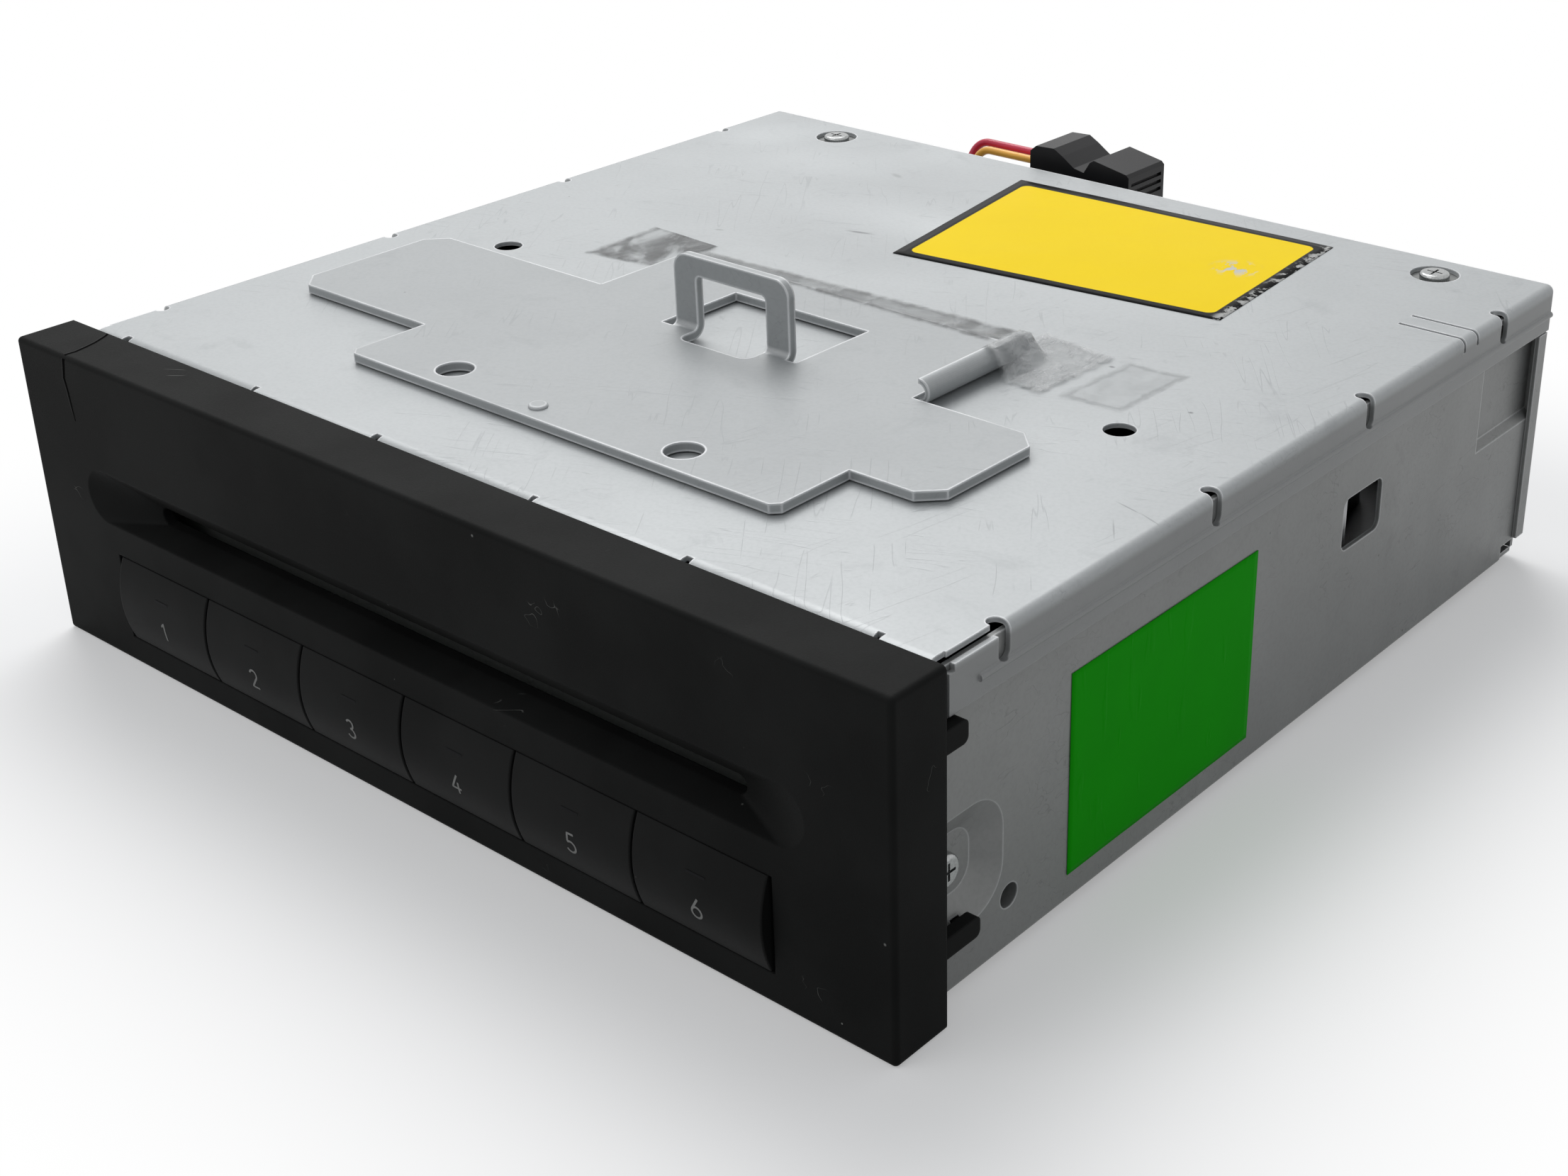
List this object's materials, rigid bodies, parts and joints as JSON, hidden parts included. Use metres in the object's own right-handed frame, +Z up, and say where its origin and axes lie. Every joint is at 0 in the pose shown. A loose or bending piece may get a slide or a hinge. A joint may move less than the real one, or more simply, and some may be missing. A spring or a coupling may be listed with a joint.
{
  "type": "car cd changer",
  "caption": "Slot-loading car disc changer in a galvanised steel case with a black keyed front panel, a bent-up finger loop and a full tray-lift mechanism inside.",
  "frame": {"origin": "middle of the whole part's footprint, on the surface it stands on", "axes": "+X to the right seen from the front, +Y from the front panel to the rear, +Z up"},
  "size_m": [0.1848, 0.1976, 0.0661],
  "materials": {
    "panel_plastic": "fine-textured black moulding",
    "key_plastic": "satin black key caps",
    "lid_steel": "galvanised sheet",
    "tray_steel": "galvanised sheet",
    "plate_steel": "galvanised plate",
    "screw_steel": "zinc-plated screws",
    "mech_steel": "pressed steel",
    "shaft_steel": "ground steel",
    "board": "green circuit board",
    "chip": "black moulded packages",
    "black_rubber": "soft rubber",
    "nylon": "natural nylon",
    "grey_plastic": "dark grey moulding",
    "connector_plastic": "black moulding",
    "red_insulation": "red wire insulation",
    "yellow_insulation": "yellow wire insulation",
    "lens_glass": "coated lens"
  },
  "bodies": {
    "case": {"front_panel": "panel_plastic", "switch_board": "board", "tact_switches": "screw_steel", "chassis_tray": "tray_steel", "top_lid": "lid_steel", "rear_panel": "tray_steel", "mounting_plate": "plate_steel", "plate_rivet": "screw_steel", "rear_connector": "connector_plastic", "connector_bracket": "tray_steel", "red_wire": "red_insulation", "yellow_wire": "yellow_insulation", "wire_grommet": "black_rubber", "optical_socket": "connector_plastic", "main_board": "board", "board_components": "chip", "mech_frame": "mech_steel", "rubber_mounts": "black_rubber", "top_bridge": "mech_steel", "lift_motor": "shaft_steel", "guide_frame": "grey_plastic", "side_screws": "screw_steel", "loading_motor": "shaft_steel", "roller_brackets": "mech_steel", "disc_guide": "grey_plastic", "traverse_frame": "mech_steel", "guide_rods": "shaft_steel", "spindle_motor": "shaft_steel", "sled_motor": "shaft_steel", "lid_screws": "screw_steel", "rear_screws": "screw_steel", "inner_screws": "screw_steel"},
    "key_1": {"button_1": "key_plastic"},
    "key_2": {"button_2": "key_plastic"},
    "key_3": {"button_3": "key_plastic"},
    "key_4": {"button_4": "key_plastic"},
    "key_5": {"button_5": "key_plastic"},
    "key_6": {"button_6": "key_plastic"},
    "flap": {"dust_flap": "grey_plastic"},
    "tray_stack": {"tray_1": "grey_plastic", "tray_2": "grey_plastic", "tray_3": "grey_plastic", "tray_4": "grey_plastic", "tray_5": "grey_plastic", "tray_6": "grey_plastic"},
    "ring": {"ring_gear": "nylon"},
    "spindle_left": {"lift_spindle_left": "nylon"},
    "spindle_right": {"lift_spindle_right": "nylon"},
    "spindle_rear": {"lift_spindle_rear": "nylon"},
    "idler": {"lift_idler": "nylon"},
    "lift_drive": {"lift_pinion": "nylon"},
    "roller": {"loading_roller": "black_rubber", "roller_shaft": "shaft_steel", "roller_gear": "nylon"},
    "load_drive": {"load_pinion": "nylon"},
    "platter": {"turntable": "grey_plastic"},
    "sled": {"pickup": "grey_plastic", "pickup_lens": "lens_glass"},
    "sled_wheel": {"sled_gear": "nylon"},
    "sled_drive": {"sled_pinion": "nylon"}
  },
  "joints": [
    {"name": "button_1_press", "type": "slide", "parent": "case", "child": "key_1", "axis": [0, 1, 0], "range_m": [0, 0.0005], "stiffness_N_per_m": 900, "springref_m": -0.0004},
    {"name": "button_2_press", "type": "slide", "parent": "case", "child": "key_2", "axis": [0, 1, 0], "range_m": [0, 0.0005], "stiffness_N_per_m": 900, "springref_m": -0.0004},
    {"name": "button_3_press", "type": "slide", "parent": "case", "child": "key_3", "axis": [0, 1, 0], "range_m": [0, 0.0005], "stiffness_N_per_m": 900, "springref_m": -0.0004},
    {"name": "button_4_press", "type": "slide", "parent": "case", "child": "key_4", "axis": [0, 1, 0], "range_m": [0, 0.0005], "stiffness_N_per_m": 900, "springref_m": -0.0004},
    {"name": "button_5_press", "type": "slide", "parent": "case", "child": "key_5", "axis": [0, 1, 0], "range_m": [0, 0.0005], "stiffness_N_per_m": 900, "springref_m": -0.0004},
    {"name": "button_6_press", "type": "slide", "parent": "case", "child": "key_6", "axis": [0, 1, 0], "range_m": [0, 0.0005], "stiffness_N_per_m": 900, "springref_m": -0.0004},
    {"name": "flap_swing", "type": "hinge", "parent": "case", "child": "flap", "pos_m": [0, -0.07927, 0.0332], "axis": [1, 0, 0], "range_deg": [0, 60], "stiffness_Nm_per_rad": 0.0005},
    {"name": "roller_spin", "type": "hinge", "parent": "case", "child": "roller", "pos_m": [0, -0.07122, 0.0234], "axis": [1, 0, 0], "continuous": true},
    {"name": "load_pinion_spin", "type": "hinge", "parent": "case", "child": "load_drive", "pos_m": [0.072, -0.06613, 0.01457], "axis": [1, 0, 0], "continuous": true},
    {"name": "tray_lift", "type": "slide", "parent": "case", "child": "tray_stack", "axis": [0, 0, 1], "range_m": [0, 0.012]},
    {"name": "ring_turn", "type": "hinge", "parent": "case", "child": "ring", "pos_m": [0, 0.00677, 0.0075], "axis": [0, 0, 1], "range_deg": [0, 28.81]},
    {"name": "spindle_left_turn", "type": "hinge", "parent": "case", "child": "spindle_left", "pos_m": [-0.0648, 0.00677, 0.02], "axis": [0, 0, 1], "range_deg": [-360.01, 0]},
    {"name": "spindle_right_turn", "type": "hinge", "parent": "case", "child": "spindle_right", "pos_m": [0.0648, 0.00677, 0.02], "axis": [0, 0, 1], "range_deg": [-360.01, 0]},
    {"name": "spindle_rear_turn", "type": "hinge", "parent": "case", "child": "spindle_rear", "pos_m": [0, 0.07157, 0.02], "axis": [0, 0, 1], "range_deg": [-360.01, 0]},
    {"name": "idler_turn", "type": "hinge", "parent": "case", "child": "idler", "pos_m": [0.04879, 0.05557, 0.0075], "axis": [0, 0, 1], "range_deg": [-192.01, 0]},
    {"name": "lift_pinion_turn", "type": "hinge", "parent": "case", "child": "lift_drive", "pos_m": [0.05728, 0.06405, 0.0075], "axis": [0, 0, 1], "range_deg": [0, 576.01]},
    {"name": "turntable_spin", "type": "hinge", "parent": "case", "child": "platter", "pos_m": [0, 0.00677, 0.014], "axis": [0, 0, 1], "continuous": true},
    {"name": "sled_slide", "type": "slide", "parent": "case", "child": "sled", "axis": [0, -1, 0], "range_m": [0, 0.03142]},
    {"name": "sled_gear_turn", "type": "hinge", "parent": "case", "child": "sled_wheel", "pos_m": [0.028, -0.03923, 0.012], "axis": [0, 0, 1], "range_deg": [0, 600.01]},
    {"name": "sled_pinion_turn", "type": "hinge", "parent": "case", "child": "sled_drive", "pos_m": [0.028, -0.04922, 0.012], "axis": [0, 0, 1], "range_deg": [-1800.01, 0]}
  ],
  "couplings": [
    {"joint": "load_pinion_spin", "follows": "roller_spin", "ratio": -2.4},
    {"joint": "ring_turn", "follows": "tray_lift", "rad_per_m": 41.888},
    {"joint": "spindle_left_turn", "follows": "tray_lift", "rad_per_m": -523.6},
    {"joint": "spindle_right_turn", "follows": "tray_lift", "rad_per_m": -523.6},
    {"joint": "spindle_rear_turn", "follows": "tray_lift", "rad_per_m": -523.6},
    {"joint": "idler_turn", "follows": "tray_lift", "rad_per_m": -279.25},
    {"joint": "lift_pinion_turn", "follows": "tray_lift", "rad_per_m": 837.76},
    {"joint": "sled_gear_turn", "follows": "sled_slide", "rad_per_m": 333.33},
    {"joint": "sled_pinion_turn", "follows": "sled_slide", "rad_per_m": -1000}
  ]
}
